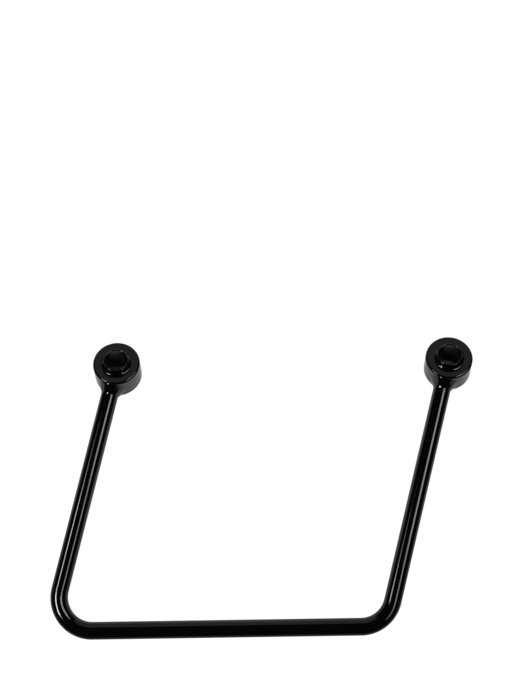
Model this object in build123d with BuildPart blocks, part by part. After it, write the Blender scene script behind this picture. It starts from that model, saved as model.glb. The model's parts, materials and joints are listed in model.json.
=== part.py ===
from build123d import *
import os
from math import asin, atan2, cos, hypot, sin, tan

# Pannier frame: a round bar bent twice and welded to two turned bosses.
# It lies on a table as it comes to rest, spigots up, with X along the line of the bosses.

# Bar, in millimetres: its legs reach away from the boss axes, drop below the seats and lean sideways
bar_d = 12.7
bend_r = 24.0
leg_reach = 178.5
leg_drop = 69.0
leg_lean = 50.0

# Bosses: the seat is the plain end, the shoulder carries the spigot
hole_spacing = 243.5
boss_d = 34.4
boss_len = 19.5
bore_d = 16.0
spigot_d = 18.2
spigot_len = 4.6
spigot_root = 1.6
shoulder_chamfer = 1.0
rim_chamfer = 0.4
seat_chamfer = 0.5
bore_chamfer = 0.5

# Joints: boss wall left bare below the bar, then the legs of the weld along the bar and up the boss,
# how far its hollow face stands out of the corner, and how deep that face runs into the bar
seat_land = 0.8
weld_run = 7.5
weld_rise = 5.4
weld_throat = 2.1
weld_bite = 0.7

# Sizes worked out from those above
bar_r = bar_d / 2
boss_r = boss_d / 2
bore_r = bore_d / 2
spigot_r = spigot_d / 2
spigot_top = boss_len + spigot_len

# Bar centreline over the seats: it starts on the boss axes and falls to the run
leg_slope = atan2(leg_drop, hypot(leg_reach, leg_lean))
bar_rise = seat_land + bar_r / cos(leg_slope) + boss_r * tan(leg_slope)
run_height = bar_rise - leg_drop

# Rest: the far edges of the two seats and the run of the bar touch the table
foot_r = boss_r - seat_chamfer
rest_span = leg_reach + foot_r
rest_tilt = atan2(-run_height, rest_span) + asin(bar_r / hypot(run_height, rest_span))

# Outside of the part from the middle of the seats: the first bend, the rear boss, the run and a shoulder
lean_angle = atan2(leg_lean, hypot(leg_reach, leg_drop))
bend_x = -hole_spacing / 2 - leg_lean + bend_r * (tan(lean_angle) + 1 / cos(lean_angle))
shoulder_z = boss_len - shoulder_chamfer
x_low = bend_x - bend_r - bar_r
x_high = hole_spacing / 2 + boss_r
y_low = run_height * sin(rest_tilt) - leg_reach * cos(rest_tilt) - bar_r
y_high = boss_r * cos(rest_tilt) + shoulder_z * sin(rest_tilt)

# Plane of the two seats, with the bosses along its X and the legs towards minus Y
seats = Plane(
    origin=(-(x_low + x_high) / 2, -(y_low + y_high) / 2, foot_r * sin(rest_tilt)),
    x_dir=(1, 0, 0),
    z_dir=(0, sin(rest_tilt), cos(rest_tilt)),
)
boss_x = {"front": -hole_spacing / 2, "rear": hole_spacing / 2}


def seat_plane(x):
    """Plane of one seat, centred on its boss axis."""
    return Plane(origin=seats.from_local_coords((x, 0, 0)), x_dir=seats.x_dir, z_dir=seats.z_dir)


def leg_plane(x):
    """Plane across one leg where its centreline meets the boss axis, facing down the leg."""
    start = seats.from_local_coords((x, 0, bar_rise))
    corner = seats.from_local_coords((x - leg_lean, -leg_reach, run_height))
    return Plane(origin=start, z_dir=corner - start)


def boss_blank(x):
    """Outside of one boss before facing, longer than the boss at both ends."""
    with BuildPart() as blank:
        with BuildSketch(seat_plane(x)):
            Circle(boss_r)
        extrude(amount=2 * boss_len, both=True)
    return blank.part


def leg_blank(x):
    """Straight start of one leg, from the boss axis to well past the weld."""
    with BuildPart() as blank:
        with BuildSketch(leg_plane(x)):
            Circle(bar_r)
        extrude(amount=2 * (boss_r + weld_run))
    return blank.part


def turned_boss(x):
    """One boss turned in one piece: seat, shoulder and spigot round a plain through bore."""
    seat = seat_plane(x)
    section = Plane(origin=seat.origin, x_dir=seat.x_dir, z_dir=-seat.y_dir)
    with BuildPart() as boss:
        with BuildSketch(section) as half:
            with BuildLine():
                Polyline(
                    (bore_r, 0),
                    (boss_r, 0),
                    (boss_r, boss_len),
                    (spigot_r, boss_len),
                    (spigot_r, spigot_top),
                    (bore_r, spigot_top),
                    close=True,
                )
            make_face()
            chamfer(half.vertices().sort_by_distance((bore_r, 0))[0], bore_chamfer)
            chamfer(half.vertices().sort_by_distance((boss_r, 0))[0], seat_chamfer)
            chamfer(half.vertices().sort_by_distance((boss_r, boss_len))[0], shoulder_chamfer)
            chamfer(half.vertices().sort_by_distance((spigot_r, boss_len))[0], spigot_root)
            chamfer(half.vertices().group_by(Axis.Y)[-1], rim_chamfer)
        revolve(axis=Axis(seat.origin, seat.z_dir))
    return boss.part


def weld_bead(x):
    """One fillet weld: a hollow flare round the leg, dressed flush with the seat."""
    leg = leg_plane(x)
    joint_top = boss_r / cos(leg_slope) - bar_r * tan(leg_slope)
    wall_end = (joint_top - weld_rise * sin(leg_slope), bar_r + weld_rise * cos(leg_slope))
    throat = (joint_top + weld_throat, bar_r + weld_throat)
    toe_end = (joint_top + weld_run, bar_r - weld_bite)
    core_r = bar_r / 2
    with BuildPart() as bead:
        with BuildSketch(Plane(origin=leg.origin, x_dir=leg.z_dir, z_dir=leg.x_dir)):
            with BuildLine():
                Polyline(
                    (0, wall_end[1]),
                    wall_end,
                    throat,
                    toe_end,
                    (toe_end[0], core_r),
                    (0, core_r),
                    close=True,
                )
            make_face()
        revolve(axis=Axis(leg.origin, leg.z_dir))
        add(leg_blank(x), mode=Mode.SUBTRACT)
        add(boss_blank(x), mode=Mode.SUBTRACT)
        with BuildSketch(seat_plane(x)):
            Circle(2 * boss_d)
        extrude(amount=shoulder_z, mode=Mode.INTERSECT)
    return bead.part


# Bar bent from one length, its ends coped to the bosses
with BuildPart() as bent_bar:
    with BuildLine():
        corners = [
            (boss_x["front"], 0, bar_rise),
            (boss_x["front"] - leg_lean, -leg_reach, run_height),
            (boss_x["rear"] - leg_lean, -leg_reach, run_height),
            (boss_x["rear"], 0, bar_rise),
        ]
        FilletPolyline(*[seats.from_local_coords(c) for c in corners], radius=bend_r)
    with BuildSketch(leg_plane(boss_x["front"])):
        Circle(bar_r)
    sweep()
    for x in boss_x.values():
        add(boss_blank(x), mode=Mode.SUBTRACT)

pieces = {"bent_bar": bent_bar.part}
for end, x in boss_x.items():
    pieces[end + "_boss"] = turned_boss(x)
    pieces[end + "_weld"] = weld_bead(x)

# Write one file for each piece
os.makedirs("parts", exist_ok=True)
for name, piece in pieces.items():
    piece.label = name
    export_step(piece, "parts/" + name + ".step")
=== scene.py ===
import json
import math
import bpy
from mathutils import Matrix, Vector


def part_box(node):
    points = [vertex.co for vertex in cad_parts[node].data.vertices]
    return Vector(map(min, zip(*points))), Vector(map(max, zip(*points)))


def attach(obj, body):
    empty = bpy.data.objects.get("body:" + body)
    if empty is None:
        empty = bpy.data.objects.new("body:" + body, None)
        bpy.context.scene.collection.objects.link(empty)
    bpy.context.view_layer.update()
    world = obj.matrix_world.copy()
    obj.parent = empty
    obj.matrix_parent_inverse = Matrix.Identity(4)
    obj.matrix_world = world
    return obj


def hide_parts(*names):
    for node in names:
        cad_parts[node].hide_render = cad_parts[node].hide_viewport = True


bl_info = {
    "name": "Pannier Frame",
    "version": (1, 0, 0),
    "blender": (4, 5, 0),
    "location": "View3D > Sidebar > Pannier Frame",
    "description": "Builds a gloss black pannier frame: a bent bar, two turned bosses and their welds",
    "category": "Object",
}

import bmesh
import bpy
from bmesh.types import BMEdge, BMVert
from bpy.props import FloatProperty, FloatVectorProperty, IntProperty, PointerProperty
from mathutils import Matrix, Vector
from mathutils.geometry import interpolate_bezier

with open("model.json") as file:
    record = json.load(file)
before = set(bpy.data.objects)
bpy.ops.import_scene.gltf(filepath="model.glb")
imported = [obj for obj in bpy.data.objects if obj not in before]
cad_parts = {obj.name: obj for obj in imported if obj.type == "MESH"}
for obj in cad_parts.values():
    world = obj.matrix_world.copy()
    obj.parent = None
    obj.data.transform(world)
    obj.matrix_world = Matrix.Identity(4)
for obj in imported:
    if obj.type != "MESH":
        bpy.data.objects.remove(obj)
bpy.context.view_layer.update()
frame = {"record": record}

MM = 0.001
ENDS = ("front", "rear")
PHOTO_PIXELS = (512, 679)

# Distance in metres within which two places count as one
SAME_PLACE = 1e-6

# Welds: powers of the cosine by which a leg changes from the bar's sides to its top and to its underside,
# and the higher one that keeps the lip close to the top
TOP_POWER = 2
UNDER_POWER = 3
LIP_POWER = 6

# Paint: detail of the noise in its clouds and its skin, and the noise between smooth and dull patches
CLOUD_DETAIL = 4
CLOUD_SPAN = (0.3, 0.7)
PEEL_DETAIL = 1

# Lamps: place, point that it faces, width and length, all in metres, and radiance
LAMPS = {
    "right_softbox": ((1.35, 0.31, 2.3), (0, 0.31, 0), (1.58, 0.9), 4.5),
    "front_softbox": ((1.5, -0.74, 2.21), (0.15, -0.74, -0.09), (0.52, 0.55), 4.0),
    "front_fade": ((1.5, -1.3, 2.21), (0.15, -1.3, -0.09), (0.6, 0.55), 2.2),
    "left_strip": ((-1.37, 0.015, 1.6), (0, 0.015, 0), (0.33, 0.33), 10.5),
    "left_fade": ((-1.37, 0.24, 1.6), (0, 0.24, 0), (0.12, 0.33), 2.2),
    "front_strip": ((-1.37, -0.5, 1.6), (0, -0.5, 0), (0.7, 0.42), 18.0),
    "back_panel": ((0, 1.4, 0.8), (0, 0, 0.8), (1.7, 1.6), 0.27),
}

# Watts that a square metre of an area lamp needs for a radiance of 1
LAMP_WATTS = 4


# Places that come from the frame

def mount(end, kind):
    """One of the frame's stated interfaces, such as the front bore."""
    name = end + "_" + kind
    found = [m for m in frame["record"]["mounts"] if m["name"] == name]
    if not found:
        raise RuntimeError("the frame has no mount named " + name)
    return found[0]


def boss_place(end):
    """Matrix of one boss: its axis on Z, its seat at zero and the line of the bosses along X."""
    up = Vector(mount(end, "bore")["axis"]).normalized()
    on_axis = Vector(mount(end, "bore")["pos_m"])
    seat = Vector(mount(end, "seat")["pos_m"])
    origin = on_axis - up * (on_axis - seat).dot(up)
    along = Vector((1, 0, 0))
    turn = Matrix((along, up.cross(along), up)).transposed()
    return Matrix.Translation(origin) @ turn.to_4x4()


def stated_radius(kind):
    """Radius of a bore or spigot, in metres."""
    return mount(ENDS[0], kind)["dims"]["r_mm"] * MM


def wall_radius():
    """Outside radius of a boss, which its box shows along X."""
    low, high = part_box(ENDS[0] + "_boss")
    return (high.x - low.x) / 2


def shoulder_height():
    """Height of the shoulder over the seat."""
    up = Vector(mount(ENDS[0], "bore")["axis"])
    return (Vector(mount(ENDS[0], "shoulder")["pos_m"]) - Vector(mount(ENDS[0], "seat")["pos_m"])).dot(up)


BOSS_PLACES = {end: boss_place(end) for end in ENDS}
BORE_R = stated_radius("bore")
SPIGOT_R = stated_radius("spigot")
WALL_R = wall_radius()
SHOULDER_Z = shoulder_height()


# Sizes and colours that a user would change

class PannierBar(bpy.types.PropertyGroup):
    """Round bar, bent twice."""

    diameter: FloatProperty(
        name="Diameter", default=0.0127, unit="LENGTH",
        description="Thickness of the bar")
    bend_radius: FloatProperty(
        name="Bend radius", default=0.024, unit="LENGTH",
        description="Radius of the bends at the middle of the bar")
    reach: FloatProperty(
        name="Reach", default=0.1785, unit="LENGTH",
        description="How far the run lies from the boss axes")
    drop: FloatProperty(
        name="Drop", default=0.069, unit="LENGTH",
        description="How far the legs fall below the seats")
    lean: FloatProperty(
        name="Lean", default=0.05, unit="LENGTH",
        description="How far the legs lean to one side")
    seat_land: FloatProperty(
        name="Seat land", default=0.0008, unit="LENGTH",
        description="Boss wall left bare below the bar")
    around: IntProperty(
        name="Around", default=96, min=12,
        description="Faces round the bar")
    bend_steps: IntProperty(
        name="Bend steps", default=48, min=4,
        description="Rings of faces along one bend")


class PannierBoss(bpy.types.PropertyGroup):
    """Turned boss with a spigot."""

    spigot_height: FloatProperty(
        name="Spigot height", default=0.0046, unit="LENGTH",
        description="How far the spigot stands over the shoulder")
    shoulder_chamfer: FloatProperty(
        name="Shoulder chamfer", default=0.001, unit="LENGTH",
        description="Chamfer on the outer edge of the shoulder")
    rim_chamfer: FloatProperty(
        name="Rim chamfer", default=0.0004, unit="LENGTH",
        description="Chamfers on the edges of the spigot's rim")
    seat_chamfer: FloatProperty(
        name="Seat chamfer", default=0.0005, unit="LENGTH",
        description="Chamfers on the edges of the seat")
    root_chamfer: FloatProperty(
        name="Root chamfer", default=0.0016, unit="LENGTH",
        description="Slope where the spigot rises from the shoulder")
    soft_edge: FloatProperty(
        name="Soft edge", default=0.0002, unit="LENGTH",
        description="How far the paint softens an outer edge")
    soft_shoulder: FloatProperty(
        name="Soft shoulder", default=0.0004, unit="LENGTH",
        description="How far the paint softens the edges of the shoulder's chamfer")
    soft_rim: FloatProperty(
        name="Soft rim", default=0.00012, unit="LENGTH",
        description="How far the paint softens the edges of the rim")
    soft_root: FloatProperty(
        name="Soft root", default=0.00042, unit="LENGTH",
        description="How far the paint fills the corners at the spigot's root")
    pool_radius: FloatProperty(
        name="Pool radius", default=0.0124, unit="LENGTH",
        description="How far from the axis the paint gathers round the spigot")
    pool_height: FloatProperty(
        name="Pool height", default=0.0001, unit="LENGTH",
        description="Thickness of the paint gathered at the spigot's root")
    around: IntProperty(
        name="Around", default=160, min=12,
        description="Faces round a boss")
    edge_steps: IntProperty(
        name="Edge steps", default=4, min=1,
        description="Faces across a softened edge")


class PannierWeld(bpy.types.PropertyGroup):
    """Fillet weld between the bar and a boss."""

    top_run: FloatProperty(
        name="Top run", default=0.0063, unit="LENGTH",
        description="Leg of the weld along the top of the bar")
    side_run: FloatProperty(
        name="Side run", default=0.0045, unit="LENGTH",
        description="Leg of the weld along the sides of the bar")
    under_run: FloatProperty(
        name="Under run", default=0.0022, unit="LENGTH",
        description="Leg of the weld along the underside of the bar")
    top_rise: FloatProperty(
        name="Top rise", default=0.0042, unit="LENGTH",
        description="Leg of the weld up the boss, over the bar")
    side_rise: FloatProperty(
        name="Side rise", default=0.0042, unit="LENGTH",
        description="Leg of the weld across the boss, beside the bar")
    under_rise: FloatProperty(
        name="Under rise", default=0.0004, unit="LENGTH",
        description="Leg of the weld down the boss, under the bar")
    top_lip: FloatProperty(
        name="Top lip", default=0.0014, unit="LENGTH",
        description="How far the weld stands out of the boss before it turns down")
    top_sweep: FloatProperty(
        name="Top sweep", default=0.65, min=0, max=1, subtype="FACTOR",
        description="Share of the run along which the face eases onto the bar")
    side_sweep: FloatProperty(
        name="Side sweep", default=0.05, min=0, max=1, subtype="FACTOR",
        description="Share of the run along which the face eases onto the bar's sides")
    bite: FloatProperty(
        name="Bite", default=0.00008, unit="LENGTH",
        description="How deep the toes run into the bar and the boss")
    ripples: IntProperty(
        name="Ripples", default=13, min=1,
        description="Ripples round the weld")
    ripple_height: FloatProperty(
        name="Ripple height", default=0.00015, unit="LENGTH",
        description="Height of the ripples on top of the weld, which fade down its sides")
    around: IntProperty(
        name="Around", default=204, min=12,
        description="Faces round the weld")
    across: IntProperty(
        name="Across", default=14, min=3,
        description="Faces across the weld's face")


class PannierPaint(bpy.types.PropertyGroup):
    """Gloss black paint."""

    colour: FloatVectorProperty(
        name="Colour", default=(0.0011, 0.0011, 0.0012), size=3, subtype="COLOR",
        description="Colour of the paint")
    thin_colour: FloatVectorProperty(
        name="Thin colour", default=(0.0019, 0.0018, 0.0018), size=3, subtype="COLOR",
        description="Colour where the paint is thinner")
    smooth: FloatProperty(
        name="Smooth", default=0.05, min=0, max=1, subtype="FACTOR",
        description="Roughness where the paint has flowed out best")
    dull: FloatProperty(
        name="Dull", default=0.11, min=0, max=1, subtype="FACTOR",
        description="Roughness where the paint is dullest")
    cloud_size: FloatProperty(
        name="Cloud size", default=0.018, unit="LENGTH",
        description="Size of the patches that differ in gloss")
    peel_size: FloatProperty(
        name="Peel size", default=0.0018, unit="LENGTH",
        description="Size of the ripples in the paint's skin")
    peel_depth: FloatProperty(
        name="Peel depth", default=0.000006, unit="LENGTH",
        description="Depth of the ripples in the paint's skin")


class PannierStage(bpy.types.PropertyGroup):
    """Camera, floor and lamps."""

    target: FloatVectorProperty(
        name="Target", default=(-0.003425, 0.111294, 0.0), size=3, subtype="XYZ", unit="LENGTH",
        description="Point of the floor at the middle of the picture")
    distance: FloatProperty(
        name="Distance", default=1.169775, unit="LENGTH",
        description="From the camera to the target")
    azimuth: FloatProperty(
        name="Azimuth", default=math.radians(3.7435), unit="ROTATION",
        description="Turn of the camera about the vertical")
    elevation: FloatProperty(
        name="Elevation", default=math.radians(79.9928), unit="ROTATION",
        description="Height of the camera over the horizon")
    roll: FloatProperty(
        name="Roll", default=math.radians(-4.6823), unit="ROTATION",
        description="Turn of the camera about its own line of sight")
    focal_pixels: FloatProperty(
        name="Focal length", default=1562.946, subtype="PIXEL",
        description="Focal length in pixels of the picture")
    floor_size: FloatProperty(
        name="Floor size", default=6.0, unit="LENGTH",
        description="Side of the square floor")
    floor_colour: FloatVectorProperty(
        name="Floor colour", default=(0.25, 0.25, 0.25), size=3, subtype="COLOR",
        description="Colour that the camera sees under the glow")
    lit_colour: FloatVectorProperty(
        name="Lit colour", default=(0.23, 0.23, 0.23), size=3, subtype="COLOR",
        description="Colour of the floor in the paint's reflections")
    lit_glow: FloatProperty(
        name="Lit glow", default=0.46,
        description="Light that the floor itself adds to the paint's reflections")
    lit_centre: FloatVectorProperty(
        name="Lit centre", default=(-0.02, 0.05, 0.0), size=3, subtype="XYZ", unit="LENGTH",
        description="Middle of the lit part of the floor")
    lit_reach: FloatVectorProperty(
        name="Lit reach", default=(0.45, 0.25, 1.0), size=3, subtype="XYZ", unit="LENGTH",
        description="How far from its middle the floor is lit, along each axis")
    lit_core: FloatProperty(
        name="Lit core", default=0.25, min=0, max=1, subtype="FACTOR",
        description="Share of that reach over which the floor is brightest")
    dim_colour: FloatVectorProperty(
        name="Dim colour", default=(0.04, 0.04, 0.04), size=3, subtype="COLOR",
        description="Colour of the floor beyond the lit part, in the paint's reflections")
    floor_glow: FloatProperty(
        name="Floor glow", default=0.93,
        description="White that the floor shows by itself")
    contact_reach: FloatProperty(
        name="Contact reach", default=0.05, unit="LENGTH",
        description="How far the floor darkens near the frame")
    covered: FloatProperty(
        name="Covered", default=0.22, min=0, max=1, subtype="FACTOR",
        description="Share of open sky at which the floor is dark, as inside a bore")
    clear: FloatProperty(
        name="Clear", default=0.4, min=0, max=1, subtype="FACTOR",
        description="Share of open sky at which the floor is white again")
    world_level: FloatProperty(
        name="Room level", default=0.009,
        description="Brightness of the dark studio around")


SETTINGS = {
    "pannier_bar": PannierBar,
    "pannier_boss": PannierBoss,
    "pannier_weld": PannierWeld,
    "pannier_paint": PannierPaint,
    "pannier_stage": PannierStage,
}


# Paint

def gloss_paint(paint):
    """Gloss black paint with an orange-peel skin and faint patches that differ in gloss."""
    name = "gloss_black_paint"
    material = bpy.data.materials.get(name)
    if material:
        return material
    material = bpy.data.materials.new(name)
    material.use_nodes = True
    nodes = material.node_tree.nodes
    link = material.node_tree.links.new
    shader = nodes["Principled BSDF"]
    place = nodes.new("ShaderNodeTexCoord")

    clouds = nodes.new("ShaderNodeTexNoise")
    clouds.inputs["Scale"].default_value = 1 / paint.cloud_size
    clouds.inputs["Detail"].default_value = CLOUD_DETAIL
    link(place.outputs["Object"], clouds.inputs["Vector"])

    tint = nodes.new("ShaderNodeMix")
    tint.data_type = "RGBA"
    tint.inputs["A"].default_value = (*paint.colour, 1)
    tint.inputs["B"].default_value = (*paint.thin_colour, 1)
    link(clouds.outputs["Fac"], tint.inputs["Factor"])
    link(tint.outputs["Result"], shader.inputs["Base Color"])

    gloss = nodes.new("ShaderNodeMapRange")
    gloss.inputs["From Min"].default_value = CLOUD_SPAN[0]
    gloss.inputs["From Max"].default_value = CLOUD_SPAN[1]
    gloss.inputs["To Min"].default_value = paint.smooth
    gloss.inputs["To Max"].default_value = paint.dull
    link(clouds.outputs["Fac"], gloss.inputs["Value"])
    link(gloss.outputs["Result"], shader.inputs["Roughness"])

    peel = nodes.new("ShaderNodeTexNoise")
    peel.inputs["Scale"].default_value = 1 / paint.peel_size
    peel.inputs["Detail"].default_value = PEEL_DETAIL
    link(place.outputs["Object"], peel.inputs["Vector"])

    skin = nodes.new("ShaderNodeBump")
    skin.inputs["Strength"].default_value = 1
    skin.inputs["Distance"].default_value = paint.peel_depth
    link(peel.outputs["Fac"], skin.inputs["Height"])
    link(skin.outputs["Normal"], shader.inputs["Normal"])
    return material


# Meshes

def finished_piece(name, bm, paint, node):
    """Turns a bmesh into a piece that stands for a node and rides on the frame."""
    mesh = bpy.data.meshes.new(name)
    bm.to_mesh(mesh)
    bm.free()
    mesh.shade_smooth()
    mesh.materials.append(gloss_paint(paint))
    piece = bpy.data.objects.new(name, mesh)
    bpy.context.scene.collection.objects.link(piece)
    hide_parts(node)
    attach(piece, "root")
    return piece


def only(kind, geometry):
    """The vertices or the edges among what a mesh operator returns."""
    return [g for g in geometry if isinstance(g, kind)]


def leg_slope(bar):
    """Angle at which a leg falls below the plane of the seats."""
    return math.atan2(bar.drop, math.hypot(bar.reach, bar.lean))


def bar_rise(bar):
    """Height over the seat at which the middle of the bar would meet the boss axis."""
    slope = leg_slope(bar)
    return bar.seat_land + bar.diameter / 2 / math.cos(slope) + WALL_R * math.tan(slope)


def leg_line(bar, end):
    """Start of one leg on its boss axis, and the corner where it would meet the run."""
    place = BOSS_PLACES[end]
    rise = bar_rise(bar)
    return place @ Vector((0, 0, rise)), place @ Vector((-bar.lean, -bar.reach, rise - bar.drop))


def to_wall(place, start, along):
    """How far along a line from start the outside of a boss lies, worked out down the boss axis."""
    at = (place.inverted() @ start).xy
    way = (place.to_3x3().transposed() @ along).xy
    outward = at.dot(way)
    inside = WALL_R * WALL_R - at.length_squared
    return (math.sqrt(outward * outward + way.length_squared * inside) - outward) / way.length_squared


def pushed(bm, edges, step):
    """Extrudes a ring of edges along a straight step and returns the new ring."""
    grown = bmesh.ops.extrude_edge_only(bm, edges=edges)["geom"]
    bmesh.ops.translate(bm, verts=only(BMVert, grown), vec=step)
    return only(BMEdge, grown)


def coped(edges, place, along):
    """Slides the end ring of the bar along its leg onto the outside of the boss."""
    for v in {v for e in edges for v in e.verts}:
        v.co += along * to_wall(place, v.co, along)


class PANNIER_OT_bent_bar(bpy.types.Operator):
    """Sweep the round bar along its legs, bends and run, with its ends coped to the bosses"""

    bl_idname = "pannier.bent_bar"
    bl_label = "Bent Bar"

    def execute(self, context):
        bar = context.scene.pannier_bar
        front_start, front_corner = leg_line(bar, ENDS[0])
        rear_start, rear_corner = leg_line(bar, ENDS[1])
        points = [front_start, front_corner, rear_corner, rear_start]
        ways = [(b - a).normalized() for a, b in zip(points, points[1:])]

        bm = bmesh.new()
        facing = ways[0].to_track_quat("Z", "Y").to_matrix().to_4x4()
        bmesh.ops.create_circle(
            bm, radius=bar.diameter / 2, segments=bar.around, matrix=Matrix.Translation(points[0]) @ facing)
        first = ring = list(bm.edges)
        here = points[0]
        for corner, way, onward in zip(points[1:], ways, ways[1:]):
            turn = way.angle(onward)
            tangent = corner - way * bar.bend_radius * math.tan(turn / 2)
            axis = way.cross(onward).normalized()
            centre = tangent + axis.cross(way) * bar.bend_radius
            ring = pushed(bm, ring, tangent - here)
            spun = bmesh.ops.spin(
                bm, geom=ring, cent=centre, axis=axis, angle=turn, steps=bar.bend_steps)["geom_last"]
            ring = only(BMEdge, spun)
            here = corner + onward * bar.bend_radius * math.tan(turn / 2)
        ring = pushed(bm, ring, points[-1] - here)

        coped(first, BOSS_PLACES[ENDS[0]], ways[0])
        coped(ring, BOSS_PLACES[ENDS[1]], -ways[-1])
        for end in (first, ring):
            bmesh.ops.edgeloop_fill(bm, edges=end)
            for edge in end:
                edge.smooth = False
        bmesh.ops.recalc_face_normals(bm, faces=bm.faces)
        finished_piece("bar_bent_to_shape", bm, context.scene.pannier_paint, "bent_bar")
        return {"FINISHED"}


class PANNIER_OT_bosses(bpy.types.Operator):
    """Turn the two bosses: seat, shoulder and spigot round a plain through bore, with softened edges"""

    bl_idname = "pannier.bosses"
    bl_label = "Bosses"

    def ring_at(self, bm, corner):
        """The ring of edges that one corner of the half-section was spun into."""
        spun = {v for v in bm.verts if math.dist((v.co.xy.length, v.co.z), corner) < SAME_PLACE}
        return [e for e in bm.edges if spun.issuperset(e.verts)]

    def turned(self, boss, place):
        """One boss as a bmesh: a half-section spun about its axis, then its edges softened."""
        top = SHOULDER_Z + boss.spigot_height
        seat, shoulder = boss.seat_chamfer, boss.shoulder_chamfer
        root, rim = boss.root_chamfer, boss.rim_chamfer
        softened = {
            (BORE_R, seat): boss.soft_edge,
            (BORE_R + seat, 0): boss.soft_edge,
            (WALL_R - seat, 0): boss.soft_edge,
            (WALL_R, seat): boss.soft_edge,
            (WALL_R, SHOULDER_Z - shoulder): boss.soft_shoulder,
            (WALL_R - shoulder, SHOULDER_Z): boss.soft_shoulder,
            (boss.pool_radius, SHOULDER_Z): boss.soft_edge,
            (SPIGOT_R + root, SHOULDER_Z + boss.pool_height): boss.soft_root,
            (SPIGOT_R, SHOULDER_Z + root): boss.soft_root,
            (SPIGOT_R, top - rim): boss.soft_rim,
            (SPIGOT_R - rim, top): boss.soft_rim,
            (BORE_R + rim, top): boss.soft_rim,
            (BORE_R, top - rim): boss.soft_rim,
        }
        bm = bmesh.new()
        corners = [bm.verts.new((r, 0, z)) for r, z in softened]
        lines = [bm.edges.new(pair) for pair in zip(corners, corners[1:] + corners[:1])]
        bmesh.ops.spin(
            bm, geom=corners + lines, cent=(0, 0, 0), axis=(0, 0, 1), angle=math.tau, steps=boss.around,
            use_merge=True)
        bmesh.ops.recalc_face_normals(bm, faces=bm.faces)
        for corner, amount in softened.items():
            bmesh.ops.bevel(
                bm, geom=self.ring_at(bm, corner), offset=amount, offset_type="OFFSET",
                segments=boss.edge_steps, profile=0.5, affect="EDGES", material=-1)
        bmesh.ops.transform(bm, matrix=place, verts=bm.verts)
        return bm

    def execute(self, context):
        for end in ENDS:
            bm = self.turned(context.scene.pannier_boss, BOSS_PLACES[end])
            piece = finished_piece(end + "_boss_turned", bm, context.scene.pannier_paint, end + "_boss")
            # Large flat faces keep an even shine beside the rounded edges
            piece.modifiers.new("even_flats", "WEIGHTED_NORMAL")
        return {"FINISHED"}


class PANNIER_OT_welds(bpy.types.Operator):
    """Lay the two fillet welds: a hollow, faintly rippled flare round each leg where it meets its boss"""

    bl_idname = "pannier.welds"
    bl_label = "Welds"

    def leg(self, turn, top, side, under, top_power=TOP_POWER):
        """Length of a leg of the weld at an angle from the top of the bar."""
        upward = math.cos(turn)
        if upward > 0:
            return side + (top - side) * upward ** top_power
        return side + (under - side) * abs(upward) ** UNDER_POWER

    def section(self, bar, weld, end, turn):
        """Outline of the weld at one angle round the leg: face from wall to toe, then the corner."""
        place = BOSS_PLACES[end]
        start, corner = leg_line(bar, end)
        along = (corner - start).normalized()
        up = place.to_3x3() @ Vector((0, 0, 1))
        top = (up - along * up.dot(along)).normalized()
        out = top * math.cos(turn) + along.cross(top) * math.sin(turn)
        skin = bar.diameter / 2
        rise = self.leg(turn, weld.top_rise, weld.side_rise, weld.under_rise)
        run = self.leg(turn, weld.top_run, weld.side_run, weld.under_run)

        inner = start + out * (skin - weld.bite)
        outer = start + out * (skin + rise)
        inmost = inner + along * (to_wall(place, inner, along) - weld.bite)
        wall = outer + along * (to_wall(place, outer, along) - weld.bite)
        toe = inmost + along * run
        lip = wall + along * self.leg(turn, weld.top_lip, 0, 0, LIP_POWER)
        ease = toe - along * run * self.leg(turn, weld.top_sweep, weld.side_sweep, weld.side_sweep)
        face = interpolate_bezier(wall, lip, ease, toe, weld.across + 1)
        normal = ((wall + toe) / 2 - inmost).normalized()
        swell = weld.ripple_height * max(math.cos(turn), 0) * math.cos(turn * weld.ripples / 2) ** 2
        swollen = [p + normal * swell * math.sin(math.pi * i / weld.across) for i, p in enumerate(face)]
        return swollen + [inmost]

    def bead(self, bar, weld, end):
        """One weld as a bmesh: a ring extruded through the points of its sections and closed on itself."""
        turns = [math.tau * i / weld.around for i in range(weld.around)]
        sections = [self.section(bar, weld, end, turn) for turn in turns]
        bm = bmesh.new()
        bmesh.ops.create_circle(bm, radius=bar.diameter, segments=weld.around)
        rings = [list(bm.edges)]
        loop = list(bm.verts)
        for v, section in zip(loop, sections):
            v.co = section[0]
        for step in range(1, len(sections[0])):
            grown = bmesh.ops.extrude_edge_only(bm, edges=rings[-1])["geom"]
            rings.append(only(BMEdge, grown))
            fresh = set(only(BMVert, grown))
            neighbours = [[e.other_vert(v) for e in v.link_edges] for v in loop]
            loop = [fresh.intersection(near).pop() for near in neighbours]
            for v, section in zip(loop, sections):
                v.co = section[step]
        bmesh.ops.bridge_loops(bm, edges=rings[0] + rings[-1])
        wall, toe, inmost = rings[0], rings[-2], rings[-1]
        for edge in wall + toe + inmost:
            edge.smooth = False
        bmesh.ops.recalc_face_normals(bm, faces=bm.faces)
        return bm

    def execute(self, context):
        for end in ENDS:
            bm = self.bead(context.scene.pannier_bar, context.scene.pannier_weld, end)
            finished_piece(end + "_weld_bead", bm, context.scene.pannier_paint, end + "_weld")
        return {"FINISHED"}


# Stage

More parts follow.
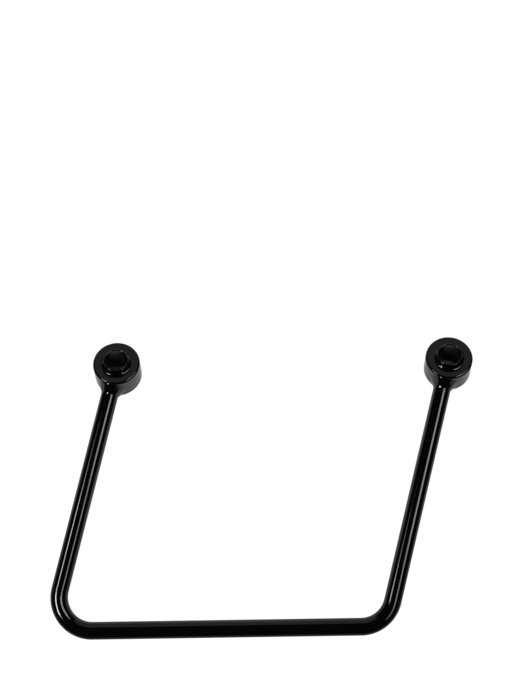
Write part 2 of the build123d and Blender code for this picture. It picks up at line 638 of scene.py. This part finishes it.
def floor_material(stage):
    """Floor that is white to the camera, with real and painted shade near the frame, and a painted pool of
    light in the paint's reflections.
    """
    material = bpy.data.materials.new("pale_floor")
    material.use_nodes = True
    nodes = material.node_tree.nodes
    link = material.node_tree.links.new
    shader = nodes["Principled BSDF"]
    shader.inputs["Roughness"].default_value = 0.9
    shader.inputs["Specular IOR Level"].default_value = 0
    shader.inputs["Emission Color"].default_value = (1, 1, 1, 1)

    def stepped(value, start, stop, low, high):
        """Smooth step of a socket, from low at start to high at stop."""
        node = nodes.new("ShaderNodeMapRange")
        node.interpolation_type = "SMOOTHSTEP"
        for name, number in zip(("From Min", "From Max", "To Min", "To Max"), (start, stop, low, high)):
            node.inputs[name].default_value = number
        link(value, node.inputs["Value"])
        return node.outputs["Result"]

    def mixed(kind, factor, first, second):
        """Result of a mix node between two sockets or constants."""
        node = nodes.new("ShaderNodeMix")
        node.data_type = kind
        link(factor, node.inputs["Factor"])
        for name, value in (("A", first), ("B", second)):
            if isinstance(value, bpy.types.NodeSocket):
                link(value, node.inputs[name])
            else:
                node.inputs[name].default_value = value
        return node.outputs["Result"]

    # Painted shade: the floor's glow dims where the frame covers it, and is darkest as inside a bore
    near = nodes.new("ShaderNodeAmbientOcclusion")
    near.inputs["Distance"].default_value = stage.contact_reach
    shown = stepped(near.outputs["AO"], stage.covered, stage.clear, 0, stage.floor_glow)
    reflected = stepped(near.outputs["AO"], stage.covered, stage.clear, 0, stage.lit_glow)

    # Painted pool of light: lit colour and glow inside an oval round the frame, dim colour beyond it, seen
    # in the paint's reflections
    place = nodes.new("ShaderNodeTexCoord")
    oval = nodes.new("ShaderNodeMapping")
    oval.vector_type = "TEXTURE"
    oval.inputs["Location"].default_value = stage.lit_centre
    oval.inputs["Scale"].default_value = stage.lit_reach
    link(place.outputs["Object"], oval.inputs["Vector"])
    away = nodes.new("ShaderNodeVectorMath")
    away.operation = "LENGTH"
    link(oval.outputs["Vector"], away.inputs[0])
    outside = stepped(away.outputs["Value"], stage.lit_core, 1, 0, 1)
    pool = mixed("RGBA", outside, (*stage.lit_colour, 1), (*stage.dim_colour, 1))
    glow = mixed("FLOAT", outside, reflected, 0.0)

    # What the camera sees, and what the paint reflects
    seen = nodes.new("ShaderNodeLightPath").outputs["Is Camera Ray"]
    link(mixed("RGBA", seen, pool, (*stage.floor_colour, 1)), shader.inputs["Base Color"])
    link(mixed("FLOAT", seen, glow, shown), shader.inputs["Emission Strength"])
    return material


def soft_lamp(name, place, target, size, radiance):
    """Rectangular soft lamp at a place, facing a target, as wide and long as size says."""
    lamp = bpy.data.lights.new(name, "AREA")
    lamp.shape = "RECTANGLE"
    lamp.size, lamp.size_y = size
    lamp.energy = radiance * LAMP_WATTS * size[0] * size[1]
    holder = bpy.data.objects.new(name, lamp)
    facing = (Vector(target) - Vector(place)).to_track_quat("-Z", "Y")
    holder.matrix_world = Matrix.Translation(place) @ facing.to_matrix().to_4x4()
    bpy.context.scene.collection.objects.link(holder)


class PANNIER_OT_stage(bpy.types.Operator):
    """Set the camera, the pale floor, the studio lamps and the dim room"""

    bl_idname = "pannier.stage"
    bl_label = "Stage"

    def camera(self, scene, stage):
        """Camera that looks down on the frame as the picture does."""
        lens = bpy.data.cameras.new("camera")
        # The width of the sensor spans the longer side of the picture
        lens.lens = stage.focal_pixels / max(PHOTO_PIXELS) * lens.sensor_width
        holder = bpy.data.objects.new("camera", lens)
        turn = (
            Matrix.Rotation(stage.azimuth, 4, "Z")
            @ Matrix.Rotation(math.pi / 2 - stage.elevation, 4, "X")
            @ Matrix.Rotation(stage.roll, 4, "Z")
        )
        back = turn @ Vector((0, 0, stage.distance))
        holder.matrix_world = Matrix.Translation(Vector(stage.target) + back) @ turn
        scene.collection.objects.link(holder)
        scene.camera = holder

    def floor(self, scene, stage):
        """Flat pale floor under the frame."""
        bm = bmesh.new()
        bmesh.ops.create_grid(bm, x_segments=1, y_segments=1, size=stage.floor_size / 2)
        mesh = bpy.data.meshes.new("floor")
        bm.to_mesh(mesh)
        bm.free()
        mesh.materials.append(floor_material(stage))
        floor = bpy.data.objects.new("floor", mesh)
        scene.collection.objects.link(floor)

    def room(self, scene, stage):
        """Dark studio in the paint's reflections, as pale as the floor to the camera."""
        world = bpy.data.worlds.new("room")
        world.use_nodes = True
        nodes = world.node_tree.nodes
        link = world.node_tree.links.new
        level = nodes.new("ShaderNodeMapRange")
        level.inputs["To Min"].default_value = stage.world_level
        level.inputs["To Max"].default_value = 1
        link(nodes.new("ShaderNodeLightPath").outputs["Is Camera Ray"], level.inputs["Value"])
        backdrop = nodes["Background"]
        backdrop.inputs["Color"].default_value = (1, 1, 1, 1)
        link(level.outputs["Result"], backdrop.inputs["Strength"])
        scene.world = world

    def execute(self, context):
        scene = context.scene
        stage = scene.pannier_stage
        self.camera(scene, stage)
        self.floor(scene, stage)
        for name, (place, target, size, radiance) in LAMPS.items():
            soft_lamp(name, place, target, size, radiance)
        self.room(scene, stage)
        scene.view_settings.view_transform = "Standard"
        return {"FINISHED"}


class PANNIER_PT_build(bpy.types.Panel):
    """Lists the steps that build the pannier frame"""

    bl_idname = "PANNIER_PT_build"
    bl_label = "Pannier Frame"
    bl_space_type = "VIEW_3D"
    bl_region_type = "UI"
    bl_category = "Pannier Frame"

    def draw(self, context):
        column = self.layout.column()
        for step in STEPS:
            column.operator(step.bl_idname)


STEPS = (PANNIER_OT_bent_bar, PANNIER_OT_bosses, PANNIER_OT_welds, PANNIER_OT_stage)


def register():
    for cls in (*SETTINGS.values(), *STEPS, PANNIER_PT_build):
        bpy.utils.register_class(cls)
    for name, group in SETTINGS.items():
        setattr(bpy.types.Scene, name, PointerProperty(type=group))


def unregister():
    for name in SETTINGS:
        delattr(bpy.types.Scene, name)
    for cls in reversed((*SETTINGS.values(), *STEPS, PANNIER_PT_build)):
        bpy.utils.unregister_class(cls)


def main():
    register()
    bpy.ops.pannier.bent_bar()
    bpy.ops.pannier.bosses()
    bpy.ops.pannier.welds()
    bpy.ops.pannier.stage()


if __name__ == "__main__":
    main()
